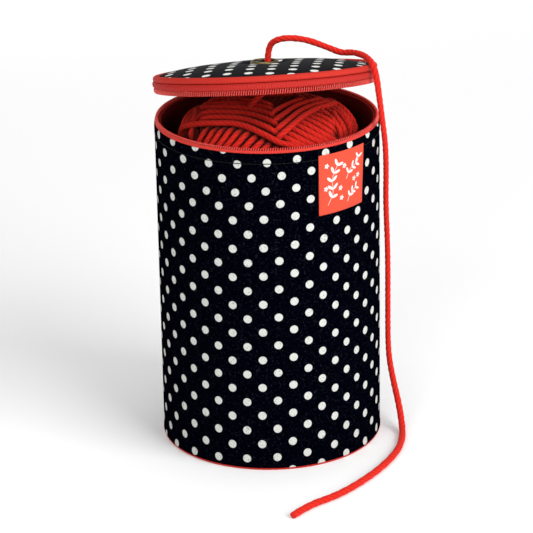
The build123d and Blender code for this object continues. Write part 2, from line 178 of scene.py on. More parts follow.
def dotted(made, first, right, back, dot_radius, dot_code):
    """White dots printed on a lattice in mm: one dot at first, and steps right and back."""
    tree = made.node_tree
    cloth = add(tree, "UVMap", {}, uv_map="cloth")
    place = add(tree, "VectorMath", {0: cloth, 1: (*first, 0.0)}, operation="SUBTRACT")
    area = right[0] * back[1] - right[1] * back[0]
    parts = []
    # The part of a step by which a place misses the nearest dot, along each of the two.
    for step, across, up in ((right, back[1], -back[0]), (back, -right[1], right[0])):
        share = add(tree, "VectorMath", {0: place, 1: (across / area, up / area, 0.0)}, "Value",
                    operation="DOT_PRODUCT")
        whole = add(tree, "Math", {0: share}, operation="ROUND")
        rest = add(tree, "Math", {0: share, 1: whole}, operation="SUBTRACT")
        parts.append(add(tree, "VectorMath", {0: (*step, 0.0), "Scale": rest}, operation="SCALE"))
    apart = add(tree, "VectorMath", {0: parts[0], 1: parts[1]}, operation="ADD")
    distance = add(tree, "VectorMath", {0: apart}, "Value", operation="LENGTH")
    inside = add(tree, "MapRange", {"Value": distance, "From Min": dot_radius - INK_EDGE,
                                    "From Max": dot_radius + INK_EDGE, "To Min": 1.0, "To Max": 0.0})
    spot = add(tree, "TexCoord", {}, "Object")
    weave = add(tree, "TexNoise", {"Vector": spot, "Scale": 1 / (FLECK * MM), "Detail": 2.0}, "Fac")
    flecks = add(tree, "MapRange", {"Value": weave, "From Min": FLECK_FROM, "From Max": FLECK_TO})
    ground = add(tree, "Mix", {"Factor": flecks, 6: made.diffuse_color[:], 7: linear("#171a21")}, 2,
                 data_type="RGBA")
    ink = add(tree, "Mix", {"Factor": flecks, 6: linear(dot_code), 7: linear("#92958f")}, 2,
              data_type="RGBA")
    to_shader(made, "Base Color", add(tree, "Mix", {"Factor": inside, 6: ground, 7: ink}, 2,
                                      data_type="RGBA"))


def plied(made, groove_shade_code, buried_code, groove_depth, fibre_size, fibre_depth):
    """Grooves between a yarn's plies, painted darker as painted shade, from the map that runs round its
    tube, and loose fibres, in mm.
    """
    tree = made.node_tree
    tube = add(tree, "UVMap", {}, uv_map="UVMap")
    around = add(tree, "VectorMath", {0: tube, 1: (0.0, PLIES * pi, 0.0)}, "Value", operation="DOT_PRODUCT")
    rise = add(tree, "Math", {0: add(tree, "Math", {0: around}, operation="COSINE")}, operation="ABSOLUTE")
    # The grooves between the plies are painted a darker red, as painted shade.
    ridge = add(tree, "MapRange", {"Value": rise, "From Min": 0.05, "From Max": 0.6})
    colour = add(tree, "Mix", {"Factor": ridge, 6: linear(groove_shade_code), 7: made.diffuse_color[:]}, 2,
                 data_type="RGBA")
    # Strands that lie deep in a ball, and the sides of its outer ones, are in shade.
    depth = add(tree, "Attribute", {}, "Fac", attribute_name="depth")
    buried = add(tree, "MapRange", {"Value": depth, "From Min": SHADE_FROM, "From Max": SHADE_TO})
    shaded = add(tree, "Mix", {"Factor": buried, 6: colour, 7: linear(buried_code)}, 2, data_type="RGBA")
    to_shader(made, "Base Color", shaded)
    place = add(tree, "TexCoord", {}, "Object")
    fibres = add(tree, "TexNoise", {"Vector": place, "Scale": 1 / (fibre_size * MM), "Detail": 3.0}, "Fac")
    fluff = add(tree, "Math", {0: fibres, 1: fibre_depth}, operation="MULTIPLY")
    round_ply = add(tree, "Math", {0: rise, 1: 0.7}, operation="POWER")
    height = add(tree, "Math", {0: round_ply, 1: groove_depth, 2: fluff}, operation="MULTIPLY_ADD")
    to_shader(made, "Normal", add(tree, "Bump", {"Height": height, "Distance": MM}))


# Plain-weave cotton, printed: dead matt, and the weave breaks both colours up into flecks. A thread
# is about 0.3 mm wide, so the flecks are drawn coarser, and the ink's edge is soft by half a thread.
FLECK = 1.25
FLECK_FROM, FLECK_TO = 0.56, 0.74
INK_EDGE = 0.15
# The lattice is in mm of arc and height on the wall, and in mm across and back on the lid.
wall_cloth = material("dotted_cotton_wall", "#010107", 0.9, 0.0)
dotted(wall_cloth, (-7.42, 110.43), (10.51, 10.59), (10.04, -9.15), 2.75, "#c6c7c2")
grain(wall_cloth, 1.2, 0.05)
# The lid's cotton is seen from low down, where its loose fibres catch the light. Its ground is painted a
# lighter, bluish black and its dots a brighter white than the wall's, as painted light and sheen on its top.
lit_lid_cloth = material("lit_dotted_cotton_lid", "#04050b", 0.85, 0.02,
                     Sheen_Weight=0.03, Sheen_Roughness=0.4)
dotted(lit_lid_cloth, (-19.9, -54.4), (12.9, -6.0), (3.4, 13.0), 2.8, "#e8e9e4")
grain(lit_lid_cloth, 2.6, 0.22)
# The same cotton without a print, under the base.
plain_cloth = material("black_cotton", "#020207", 0.9, 0.05)
# Cotton twill cut on the bias and folded over a cord: matt red with slanting ribs. They are drawn
# about 2 mm apart, four times as coarse as they are, so that they show.
piping_cloth = material("red_piping_cotton", "#b8281d", 0.7, 0.2)
ribs(piping_cloth, 0.35, 0.25, 0.12)
# Polyester tape, woven narrow: less matt than cotton, with ribs across it, drawn 2 mm apart.
tape_cloth = material("red_zip_tape", "#ae221c", 0.7, 0.2)
ribs(tape_cloth, 0.5, 0.12, 0.2)
# The tape's folded edge on the rim: a brighter copy of the tape's cloth, as painted light where the lid
# shades the rim.
lit_band_cloth = material("lit_red_tape_edge", "#c9342a", 0.7, 0.2)
ribs(lit_band_cloth, 0.5, 0.12, 0.15)
# Nylon wire, drawn and wound into a coil: smooth, with a soft shine on each turn.
coil_nylon = material("red_zip_coil", "#d03a30", 0.25, 0.5)
# The spun cord and tape inside the coil, painted a dark red, darker than the tape, as painted shade between
# its turns.
shaded_coil_core = material("red_shaded_coil_core", "#6a1210", 0.9, 0.1)
# Satin, woven: a dark red that shines a little where it is slack, in waves some 9 mm apart. The red is
# painted darker than the folded edge's, as painted shade inside the box and the lid.
shaded_lining_cloth = material("shaded_red_lining_satin", "#5c0a0e", 0.55, 0.25)
grain(shaded_lining_cloth, 9.0, 0.25, 2.0)
# The lining's folded edge shows the dull side of the satin, and keeps a lighter red than the lining, whose
# darker red is painted shade.
facing_cloth = material("red_rim_facing", "#8f1b17", 0.75, 0.1)
# Chunky wool, spun of four plies: matt, with a halo of fibres. A fibre is far thinner than the
# noise that stands for it. A strand in a ball is in shade from so many mm deep to so many.
SHADE_FROM, SHADE_TO = 1.5, 4.4
yarn_wool = material("red_yarn", "#d8281e", 0.85, 0.1,
                     Sheen_Weight=0.3, Sheen_Roughness=0.5, Sheen_Tint=linear("#ff7866"))
# The grooves between the yarn's plies are painted a darker red, as painted shade.
plied(yarn_wool, "#b21b14", "#3c0606", 0.12, 0.9, 0.3)
# Dyed cotton tape with a flat white print, sewn on with its own colour.
label_cloth = material("coral_label_cotton", "#cf4a35", 0.8, 0.15)
grain(label_cloth, 0.9, 0.09)
label_print = material("white_label_print", "#e3d8d4", 0.7)
label_thread = material("coral_label_thread", "#c44a38", 0.7)
# Sewing thread of twisted polyester: a slight shine on the black stitches.
black_thread = material("black_thread", "#08080c", 0.7, 0.2)
# Brass, stamped and toned to look antique: a brown metal, bright only where it is turned to a light.
brass = material("antique_brass", "#7f7250", 0.34, Metallic=1.0)
# Inside the barrel the same brass is painted nearly black, as painted shade.
shaded_barrel_brass = material("shaded_barrel_brass", "#15110d", 0.6, Metallic=0.6)
# Zip brass, cast and tumbled: paler and duller.
zip_brass = material("zip_brass", "#8d7a50", 0.38, Metallic=1.0)
# Grey board, pressed, and polyester fleece, needled: both out of sight, both matt.
board = material("grey_card", "#8b877f", 0.9)
fleece = material("white_wadding", "#e9e7e1", 0.95)


# --- Mesh helpers ---------------------------------------------------------------------------
def placed(name, data):
    """A new object in the scene."""
    made = bpy.data.objects.new(name, data)
    bpy.context.scene.collection.objects.link(made)
    return made


def object_from(bm, name, surface, turn=None):
    """Ends a mesh in mm: smooth faces, outward normals, metres, and its place on the open lid."""
    bmesh.ops.recalc_face_normals(bm, faces=bm.faces)
    for face in bm.faces:
        face.smooth = True
    mesh = bpy.data.meshes.new(name)
    bm.to_mesh(mesh)
    bm.free()
    if turn is not None:
        mesh.transform(turn)
    mesh.transform(Matrix.Scale(MM, 4))
    mesh.materials.append(surface)
    return placed(name, mesh)


def smooth_profile(points, step):
    """Adds points along a profile, so that no two are further apart than step."""
    filled = [points[0]]
    for (r0, z0), (r1, z1) in zip(points, points[1:]):
        parts = max(1, ceil(hypot(r1 - r0, z1 - z0) / step))
        filled += [(r0 + (r1 - r0) * i / parts, z0 + (z1 - z0) * i / parts)
                   for i in range(1, parts + 1)]
    return filled


def part_way(value, low, high):
    """How far a value lies from low to high, as a share from 0 to 1."""
    return min(1.0, max(0.0, (value - low) / (high - low)))


def bell(distance, width):
    """1 at no distance, falling softly to nothing over about twice the width."""
    return exp(-(distance / width) ** 2)


def slack(across, up):
    """How far the printed cotton has crept over the wall, in mm along and up."""
    high = part_way(up, 183.0, 209.0)
    along = 3.3 * high * bell(across + 48.0, 42.0) - 2.3 * bell(across - 52.0, 20.0) * bell(up - 135.0, 60.0)
    return along, -2.3 * bell(up, 34.0) - 0.9 * high


def polar(radius, azimuth, height=0.0):
    """A point in mm by its distance and angle round the box's axis."""
    return Vector((radius * cos(azimuth), radius * sin(azimuth), height))


def near(radius, height, *steps):
    """Points of an outline, by their steps out and up from one place."""
    return [(radius + out, height + up) for out, up in steps]


def to_polar(place):
    """The angle of a point round the box's axis, and its distance from it."""
    return atan2(place.y, place.x), hypot(place.x, place.y)


def pushed_out(place, out):
    """A point moved out from the box's axis."""
    share = 1 + out / hypot(place.x, place.y)
    return Vector((place.x * share, place.y * share, place.z))


def spun(profile, steps, start=0.0, arc=360.0, closed=True, flat_map=False, shift=None):
    """A mesh in mm from (radius, height) points turned about the axis, with its cloth map."""
    bm = bmesh.new()
    turn = radians(start)
    ring = [bm.verts.new(polar(r, turn, z)) for r, z in profile]
    edges = [bm.edges.new(pair) for pair in zip(ring, ring[1:])]
    if closed:
        edges.append(bm.edges.new((ring[-1], ring[0])))
    full = arc >= 360.0
    bmesh.ops.spin(bm, geom=ring + edges, cent=(0, 0, 0), axis=(0, 0, 1), dvec=(0, 0, 0),
                   angle=radians(arc), steps=steps, use_merge=full, use_duplicate=False)
    bmesh.ops.remove_doubles(bm, verts=bm.verts, dist=0.0005)
    if not full:
        bmesh.ops.holes_fill(bm, edges=[e for e in bm.edges if e.is_boundary], sides=0)
    cloth = bm.loops.layers.uv.new("cloth")
    for face in bm.faces:
        middle = face.calc_center_median()
        facing = atan2(middle.x, -middle.y)
        for loop in face.loops:
            x, y, z = loop.vert.co
            if flat_map:
                loop[cloth].uv = (x, y)
                continue
            around = atan2(x, -y)
            around += 2 * pi * round((facing - around) / (2 * pi))
            along, rise = slack(around * WALL_R, z)
            loop[cloth].uv = (around * WALL_R - along, z - rise)
    if shift is not None:
        for vertex in bm.verts:
            vertex.co = shift(vertex.co)
    return bm


def round_bar(centre_r, centre_z, radius, sides):
    """The outline of a round bar, for spun()."""
    return [(centre_r + radius * cos(2 * pi * i / sides), centre_z + radius * sin(2 * pi * i / sides))
            for i in range(sides)]


def measured(points):
    """The length of a line through points."""
    return sum((b - a).length for a, b in zip(points, points[1:]))


def spaced(points, step):
    """The same line with its points evenly step mm apart."""
    total = measured(points)
    count = max(2, round(total / step))
    line, run, index = [points[0]], 0.0, 0
    for i in range(1, count):
        target = total * i / count
        while run + (points[index + 1] - points[index]).length < target:
            run += (points[index + 1] - points[index]).length
            index += 1
        span = points[index + 1] - points[index]
        line.append(points[index] + span * ((target - run) / span.length))
    line.append(points[-1])
    return line


def through(points, step):
    """A smooth line through points, evenly spaced."""
    ends = [points[0] * 2 - points[1]] + list(points) + [points[-1] * 2 - points[-2]]
    line = []
    for a, b, c, d in zip(ends, ends[1:], ends[2:], ends[3:]):
        for i in range(12):
            t = i / 12
            line.append(0.5 * (2 * b + (c - a) * t + (2 * a - 5 * b + 4 * c - d) * t * t
                               + (3 * b - a - 3 * c + d) * t ** 3))
    line.append(points[-1].copy())
    return spaced(line, step)


def with_runs(line):
    """Each point of a line, with its distance along it from the start."""
    run = 0.0
    for i, place in enumerate(line):
        run += (place - line[i - 1]).length if i else 0.0
        yield place, run


def mesh_of(curve):
    """The mesh that a curve makes. The curve itself is deleted."""
    holder = placed(curve.name, curve)
    mesh = bpy.data.meshes.new_from_object(
        holder.evaluated_get(bpy.context.evaluated_depsgraph_get()))
    bpy.data.objects.remove(holder)
    bpy.data.curves.remove(curve)
    return mesh


def tubes(name, lines, surface, radius=0.0, roundness=0, section=None, twist=0.0, swell=None):
    """Tubes along lines in mm. twist is in radians in a mm, and swell gives a factor at a place."""
    curve = bpy.data.curves.new(name, "CURVE")
    curve.dimensions = "3D"
    curve.twist_mode = "MINIMUM"
    for line in lines:
        spline = curve.splines.new("POLY")
        spline.points.add(len(line) - 1)
        for point, (place, run) in zip(spline.points, with_runs(line)):
            point.co = (*(place * MM), 1.0)
            point.tilt = run * twist
            point.radius = swell(place) if swell else 1.0
    if section is None:
        curve.bevel_depth = radius * MM
        curve.bevel_resolution = roundness
    else:
        curve.bevel_mode = "OBJECT"
        curve.bevel_object = section
    curve.use_fill_caps = True
    mesh = mesh_of(curve)
    bm = bmesh.new()
    bm.from_mesh(mesh)
    bmesh.ops.remove_doubles(bm, verts=bm.verts, dist=0.000002)
    bmesh.ops.recalc_face_normals(bm, faces=bm.faces)
    for face in bm.faces:
        face.smooth = len(face.verts) <= 4
    bm.to_mesh(mesh)
    bm.free()
    mesh.materials.append(surface)
    return placed(name, mesh)


def plied_section(name, radius, per_ply, lobe):
    """The outline of twisted yarn: one lobe for each ply, that share of the radius high."""
    curve = bpy.data.curves.new(name, "CURVE")
    curve.dimensions = "2D"
    spline = curve.splines.new("POLY")
    count = PLIES * per_ply
    spline.points.add(count - 1)
    for i in range(count):
        angle = 2 * pi * i / count
        reach = radius * (1 - lobe + lobe * abs(cos(PLIES * angle / 2)) ** 0.8) * MM
        spline.points[i].co = (reach * cos(angle), reach * sin(angle), 0.0, 1.0)
    spline.use_cyclic_u = True
    holder = placed(name, curve)
    holder.hide_render = True
    return holder


def stand_in(piece, body, slot, *nodes):
    """Puts a piece on a body in place of CAD nodes. The slot is not used."""
    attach(piece, body)
    if nodes:
        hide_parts(*nodes)
    return piece


def ring_piece(name, profile, steps, surface, body, slot, *nodes, **turning):
    """A piece spun from its profile, on its body. The lid's pieces are made shut, and then opened."""
    piece = object_from(spun(profile, steps, **turning), name, surface, OPENING if body == "lid" else None)
    return stand_in(piece, body, slot, *nodes)


def wrinkle(azimuth, waves):
    """A repeatable unevenness round a ring, from -1 to 1."""
    return sum(sin(count * azimuth + phase) for count, phase in waves) / len(waves)


# --- Camera, floor and lights ---------------------------------------------------------------
IMAGE_SIDE = 533  # pixels
CAMERA_AT = Vector((-283.26, -1620.58, 752.60))
CAMERA_AZIMUTH, CAMERA_DOWN, CAMERA_ROLL = radians(9.8447), radians(21.1096), radians(-1.0135)
camera_data = bpy.data.cameras.new("camera")
camera_data.sensor_width = 36.0
camera_data.lens = 174.97
camera_data.clip_end = 20.0
camera = placed("camera", camera_data)
camera.matrix_world = (
    Matrix.Translation(CAMERA_AT * MM)
    @ Matrix.Rotation(-CAMERA_AZIMUTH, 4, "Z")
    @ Matrix.Rotation(pi / 2 - CAMERA_DOWN, 4, "X")
    @ Matrix.Rotation(CAMERA_ROLL, 4, "Z")
)
bpy.context.scene.camera = camera

floor_bm = bmesh.new()
bmesh.ops.create_grid(floor_bm, x_segments=1, y_segments=1, size=6000.0)
floor = object_from(floor_bm, "floor", material("pale_floor", "#ffffff", 0.9, 0.0))

world = bpy.data.worlds.new("studio")
world.use_nodes = True
world.node_tree.nodes["Background"].inputs["Color"].default_value = (1.0, 1.0, 1.0, 1.0)
world.node_tree.nodes["Background"].inputs["Strength"].default_value = 0.4
bpy.context.scene.world = world


def area_light(name, place, size, power, aimed_at=(0.0, 0.0, 0.15)):
    """A square softbox, aimed at the middle of the box unless told otherwise."""
    lamp = bpy.data.lights.new(name, "AREA")
    lamp.size = size
    lamp.energy = power
    holder = placed(name, lamp)
    holder.location = place
    aim = Vector(aimed_at) - holder.location
    holder.rotation_euler = aim.to_track_quat("-Z", "Y").to_euler()


# A large soft key from the front right, a weaker fill from the left, and a little light from above.
area_light("key_softbox", (1.2, -1.5, 1.25), 1.6, 44.0)
area_light("fill_softbox", (-1.1, -1.6, 1.3), 1.3, 15.0)
area_light("top_softbox", (0.1, 0.4, 2.2), 1.6, 12.0)
# Four softboxes with their backs to the box whiten the floor round it.
for i, (across, back) in enumerate(((0, 1), (1, 0), (0, -1), (-1, 0))):
    area_light("floor_softbox_%d" % (i + 1), (2.4 * across, 2.4 * back, 2.0), 1.6, 65.0,
               (4.4 * across, 4.4 * back, 0.0))
bpy.context.scene.view_settings.view_transform = "Standard"

# --- The free strand ------------------------------------------------------------------------


def nurbs_line(route):
    """The points in mm of a NURBS curve with route as its control points."""
    curve = bpy.data.curves.new("route", "CURVE")
    curve.dimensions = "3D"
    curve.resolution_u = 16
    spline = curve.splines.new("NURBS")
    spline.points.add(len(route) - 1)
    for point, place in zip(spline.points, route):
        point.co = (*(place * MM), 1.0)
    spline.order_u = 3
    spline.use_endpoint_u = True
    mesh = mesh_of(curve)
    line = [vertex.co / MM for vertex in mesh.vertices]
    bpy.data.meshes.remove(mesh)
    return line


def on_lid(x, y, z):
    """A point given with the lid shut, on the open lid."""
    return OPENING @ Vector((x, y, z))


# The strand lies a little off the eyelet's middle. It enters below the lining, its two lengths join
# above the board, and it makes its first bend above the crown. The routes are control points in mm.
ASIDE = 2.2
ENTRY_RISE, JOIN_RISE, EXIT_RISE = 1.1, 2.7, 10.1
JOIN = on_lid(ASIDE, 0, BOARD_TOP + JOIN_RISE)
feed_route = [
    Vector((-13.0, 2.5, 229.8)),
    Vector((-8.5, 3.4, 233.6)),
    Vector((0.5, 1.4, 243.2)),
    on_lid(ASIDE, 0, LID_LINING_LOW + ENTRY_RISE),
    JOIN,
]
STRAND_REST = YARN_R + 0.2
tail_route = [JOIN, on_lid(ASIDE, 0, DOME_TOP + EXIT_RISE)] + [Vector(place) for place in (
    # Over the lid.
    (9.7, 1.0, 278.0), (25.6, -0.8, 276.8), (41.0, -3.6, 270.6), (49.4, -7.4, 267.2), (55.6, -13.0, 269.0),
    (59.8, -20.6, 269.4), (62.4, -28.8, 269.3), (64.4, -36.3, 267.1),
    # Down the side.
    (65.8, -40.6, 259.6), (67.6, -40.6, 245.5), (69.6, -42.1, 228.5), (72.3, -38.4, 211.0),
    (74.6, -30.0, 190.0), (75.6, -24.0, 167.0), (77.6, -22.0, 130.0), (77.9, -20.5, 86.0),
    (78.2, -20.0, 56.0), (81.2, -20.0, 37.0), (85.9, -21.8, 14.4),
    # Along the floor.
    (85.4, -34.0, STRAND_REST), (81.2, -50.0, STRAND_REST), (74.6, -66.0, STRAND_REST),
    (61.8, -85.0, STRAND_REST), (43.0, -106.0, STRAND_REST), (20.5, -125.0, STRAND_REST),
    (-0.5, -135.0, STRAND_REST), (-13.2, -147.4, STRAND_REST))]
PLY_TURN = 2 * pi / 16.0  # radians in a mm: the plies go once round in 16 mm
strand_section = plied_section("strand_section", YARN_R + 0.1, 6, 0.08)


def tension(place):
    """The strand is a little thinner over the lid and most where its own weight draws it out."""
    hanging = part_way(place.z, 8.0, 68.0) * part_way(place.z, 272.0, 232.0)
    over_lid = part_way(place.z, 255.0, 270.0)
    unevenness = sin(place.z * 1.3 + place.x * 0.9)
    return 1.0 - 0.17 * hanging - 0.07 * over_lid + 0.035 * unevenness


# Each strand: its name, its route, its far end, two heights in mm, and the CAD node it stands for.
for name, route, far_end, low, high, node in (
        ("yarn_tail_strand", tail_route, "bare", 2, 256, "yarn_tail"),
        ("yarn_feed_strand", feed_route, "object", 234, 250, "yarn_feed")):
    line = spaced(nurbs_line(route), 0.8)
    strand = tubes(name, [line], yarn_wool, section=strand_section, twist=PLY_TURN, swell=tension)
    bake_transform(strand)
    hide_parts(node)

# --- Wall -----------------------------------------------------------------------------------
STITCH_HEIGHT = SLEEVE_TOP - 7.0
STITCHES = 147
sleeve_waves = [(3, 0.4), (5, 2.1), (8, 4.0)]
SLEEVE_IN = WALL_R - COTTON
# The hem laps over the foot's piping, the topstitch draws the cotton in, and the top turns inwards.
sleeve_profile = smooth_profile(
    near(SLEEVE_IN, SLEEVE_LOW, (0.05, 0.3), (0.35, 0.0))
    + near(WALL_R, SLEEVE_LOW, (0.1, -0.75), (0.32, -0.6), (0.3, 0.5), (0.0, 3.0))
    + near(WALL_R, STITCH_HEIGHT, (0.0, -3.0)), 9.0)
sleeve_profile += near(WALL_R, STITCH_HEIGHT, (0.02, -1.6), (-0.05, -0.8), (-0.22, -0.35), (-0.32, 0.0),
                       (-0.22, 0.35), (0.0, 0.9), (0.2, 2.2), (0.22, 4.0))
sleeve_profile += near(WALL_R, SLEEVE_TOP, (0.14, -1.3), (-0.05, -0.5), (-0.3, -0.1))
sleeve_profile += near(SLEEVE_IN, SLEEVE_TOP, (0.15, -0.15), (0.02, -0.8), (0.02, -8.0))


def sleeve_shift(place):
    """Slack between the seams and a small pucker at each stitch."""
    azimuth, radius = to_polar(place)
    if radius < SLEEVE_IN + 0.3:
        return place
    share = (place.z - SLEEVE_LOW) / (SLEEVE_TOP - SLEEVE_LOW)
    out = 0.12 * wrinkle(azimuth, sleeve_waves) * sin(pi * share)
    out -= 0.12 * bell(place.z - STITCH_HEIGHT, 1.6) * cos(STITCHES * azimuth)
    return pushed_out(place, out)


sleeve = ring_piece("cotton_sleeve", sleeve_profile, STITCHES * 4, wall_cloth, "box", "dotted_cotton",
                    "outer_sleeve", start=90.0, shift=sleeve_shift)
# Each stitch dips through the cotton at both ends: angles in radians, and distances out of the wall.
stitch_bends = ((-0.0195, -0.4), (-0.0145, -0.02), (0.0145, -0.02), (0.0195, -0.4))
stitch_lines = []
for i in range(STITCHES):
    azimuth = 2 * pi * (i + 0.5) / STITCHES
    stitch_lines.append([polar(WALL_R + out, azimuth + turn, STITCH_HEIGHT) for turn, out in stitch_bends])
topstitch = tubes("rim_topstitch", stitch_lines, black_thread, radius=0.26)
stand_in(topstitch, "box", "dotted_cotton")

foot_profile = round_bar(FOOT_OUTER - FOOT_R, FOOT_LOW + FOOT_R, FOOT_R, 12)
ring_piece("foot_piping", foot_profile, 420, piping_cloth, "box", "red_piping", "base_piping")
base_profile = smooth_profile(
    [(0.0, BASE_LOW), (BASE_R - 0.5, BASE_LOW), (BASE_R, BASE_LOW + 0.4), (BASE_R - 0.3, BASE_TOP),
     (0.0, BASE_TOP)], 12.0)
base_cloth = ring_piece("base_cloth", base_profile, 180, plain_cloth, "box", "dotted_cotton", "base_cover",
                        closed=False, flat_map=True)


# --- Zip ------------------------------------------------------------------------------------
COIL_PITCH = 1.55
WIRE_R = 0.42
COIL_PROUD = 0.3
TURN_POINTS = 10
coil_run = {"start": ZIP_START + STOP_ARC, "arc": ZIP_ARC - 2 * STOP_ARC}


def coil_line(low, high):
    """The nylon wire of one coil, wound along the rim."""
    start, arc = radians(coil_run["start"]), radians(coil_run["arc"])
    middle_r, middle_z = COIL_R - (COIL_WIDTH - COIL_PROUD) / 2, (low + high) / 2
    turns = round(arc * middle_r / COIL_PITCH)
    wide, tall = (COIL_WIDTH + COIL_PROUD) / 2 - WIRE_R, (high - low) / 2 - WIRE_R
    line = []
    for i in range(turns * TURN_POINTS + 1):
        azimuth = start + arc * i / (turns * TURN_POINTS)
        loop = 2 * pi * i / TURN_POINTS
        line.append(polar(middle_r + wide * cos(loop), azimuth, middle_z + tall * sin(loop)))
    return line


def core_profile(low, high):
    """The outline of the tape and thread inside a coil."""
    middle_r = COIL_R - COIL_WIDTH / 2
    return (near(middle_r, low, (-0.35, 0.8), (0.35, 0.8), (0.45, 1.4))
            + near(middle_r, high, (0.35, -0.8), (-0.35, -0.8)) + near(middle_r, low, (-0.45, 1.4)))


# The folded edge of the tape stands round the lower half of the coil.
band_profile = near(COIL_R, COIL_LOW, (-1.4, -0.3), (0.15, -0.3), (0.5, 0.15), (0.62, 0.75), (0.5, 1.35),
                    (0.1, 1.7), (-0.4, 1.75), (-1.4, 1.0))
ring_piece("rim_tape_edge", band_profile, 420, lit_band_cloth, "box", "zip_tape", **coil_run)
# The lid's coil reaches a little way up behind its tape.
for side, body, low, high, reach, turn in (
        ("lower", "box", COIL_LOW, COIL_TOP, 0.0, Matrix.Identity(4)),
        ("upper", "lid", LID_COIL_LOW, LID_COIL_TOP, 0.45, OPENING)):
    wire = [turn @ place for place in coil_line(low, high + reach)]
    coil = tubes(side + "_coil", [wire], coil_nylon, radius=WIRE_R, roundness=1)
    stand_in(coil, body, "zip_coil", side + "_zip_coil")
    ring_piece(side + "_shaded_coil_core", core_profile(low, high), 300, shaded_coil_core, body, "zip_tape", **coil_run)

# The tape bulges outwards between its two edges.
tape_profile = near(TAPE_R, TAPE_LOW, (-COTTON, 0.05), (-0.35, 0.15), (0.25, 0.45), (0.7, 1.1))
tape_profile += near(TAPE_R, (TAPE_LOW + TAPE_TOP) / 2, (0.88, 0.0))
tape_profile += near(TAPE_R, TAPE_TOP, (0.7, -1.1), (0.25, -0.45), (-0.35, -0.12), (-COTTON, -0.02))
ring_piece("upper_tape", tape_profile, 420, tape_cloth, "lid", "zip_tape", "upper_zip_tape",
           start=ZIP_START, arc=ZIP_ARC)

# The zip's metal parts are their CAD nodes, with the triangles merged and the sharp edges rounded.
for node, name, rounding, body in (("zip_slider", "slider_body", 0.16, "slider"),
                                   ("zip_pull", "pull_tab", 0.18, "pull"),
                                   ("lower_zip_stops", "lower_stops", 0.2, "box"),
                                   ("upper_zip_stops", "upper_stops", 0.2, "lid")):
    bm = bmesh.new()
    bm.from_mesh(frame["nodes"][node].data)
    bmesh.ops.scale(bm, vec=(1 / MM,) * 3, verts=bm.verts)
    bmesh.ops.remove_doubles(bm, verts=bm.verts, dist=0.002)
    sharp = [e for e in bm.edges if len(e.link_faces) == 2 and e.calc_face_angle() > radians(35)]
    bmesh.ops.bevel(bm, geom=sharp, offset=rounding, segments=2, profile=0.5, affect="EDGES",
                    material=-1, clamp_overlap=True)
    for layer in list(bm.loops.layers.uv):
        bm.loops.layers.uv.remove(layer)
    stand_in(object_from(bm, name, zip_brass), body, "zip_metal", node)

# --- Fabric hinge: one doubled strip of cotton from the box to the lid -----------------------
hinge_in = WALL_R - 2 * COTTON
hinge_profile = smooth_profile([
    (hinge_in, HINGE_LOW + 0.1), (SLEEVE_IN, HINGE_LOW + 0.1), (SLEEVE_IN, COIL_LOW - 0.1),
    (WALL_R - 0.1, COIL_LOW + 0.1), (WALL_R, COIL_LOW + 0.6), (WALL_R, HINGE_Z - 0.9),
    (WALL_R - 0.35, HINGE_Z), (WALL_R, HINGE_Z + 0.9), (WALL_R, LID_COIL_TOP - 0.5),
    (WALL_R - 0.15, LID_COIL_TOP - 0.05), (SLEEVE_IN, LID_COIL_TOP + 0.2), (SLEEVE_IN, TAPE_TOP - 0.1),
    (hinge_in, TAPE_TOP - 0.1), (hinge_in, HINGE_Z + 0.6), (hinge_in - 0.2, HINGE_Z - 0.3),
    (hinge_in - 1.0, HINGE_Z - 0.8), (hinge_in - 1.2, COIL_LOW + 0.4), (hinge_in - 0.9, COIL_LOW)], 0.8)
FOLD_LOW, FOLD_HIGH = HINGE_Z - 1.0, HINGE_Z + 2.0


def fold_shift(place):
    """Bends the upper half of the strip back with the open lid."""
    share = part_way(place.z, FOLD_LOW, FOLD_HIGH)
    return about_hinge(OPEN_ANGLE * share * share * (3 - 2 * share)) @ place


strip = object_from(spun(hinge_profile, 90, start=TAB_START, arc=TAB_ARC, shift=fold_shift),
                    "hinge_strip", wall_cloth)
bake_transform(strip)
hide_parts("hinge_tab", "lid_hinge_tab")

# --- Linings --------------------------------------------------------------------------------
lining_waves = [(23, 0.7), (37, 3.0), (51, 1.9)]
lining_in = LINING_R - 0.6


def lining_shift(place):
    """Slack of the wall's lining, held flat at the rim."""
    azimuth, radius = to_polar(place)
    if radius > lining_in + 0.2 or place.z < FLOOR + 1.0:
        return place
    return pushed_out(place, 0.25 * wrinkle(azimuth, lining_waves) * min(1.0, (FACING_TOP - place.z) / 12.0))


lining_profile = smooth_profile([(lining_in, FLOOR), (lining_in, FACING_LOW + 0.1)], 8.0) + [
    (LINING_R, FACING_LOW + 0.1), (LINING_R, FLOOR)]
wall_lining = ring_piece("wall_lining_cloth", lining_profile, 360, shaded_lining_cloth, "box", "lining",
                         "wall_lining", shift=lining_shift)
facing_in = FACING_R - 1.2
facing_profile = [(facing_in - 0.05, FACING_LOW)]
facing_profile += near(facing_in, FACING_TOP, (-0.1, -0.6), (0.15, -0.1), (0.6, 0.0))
facing_profile += near(FACING_R, FACING_TOP, (-0.15, -0.15), (0.0, -0.7)) + [(FACING_R, FACING_LOW)]
ring_piece("rim_facing_cloth", facing_profile, 360, facing_cloth, "box", "lining", "rim_facing")
floor_profile = smooth_profile([
    (0.0, FLOOR_LOW), (LINING_R - 0.8, FLOOR_LOW), (LINING_R - 0.7, FLOOR_TOP - 0.2),
    (LINING_R - 1.0, FLOOR_TOP), (0.0, FLOOR_TOP)], 12.0)
floor_cloth = ring_piece("floor_lining_cloth", floor_profile, 180, shaded_lining_cloth, "box", "lining",
                         "base_lining", closed=False, flat_map=True)

gather_waves = [(11, 0.2), (17, 2.4), (29, 4.4)]


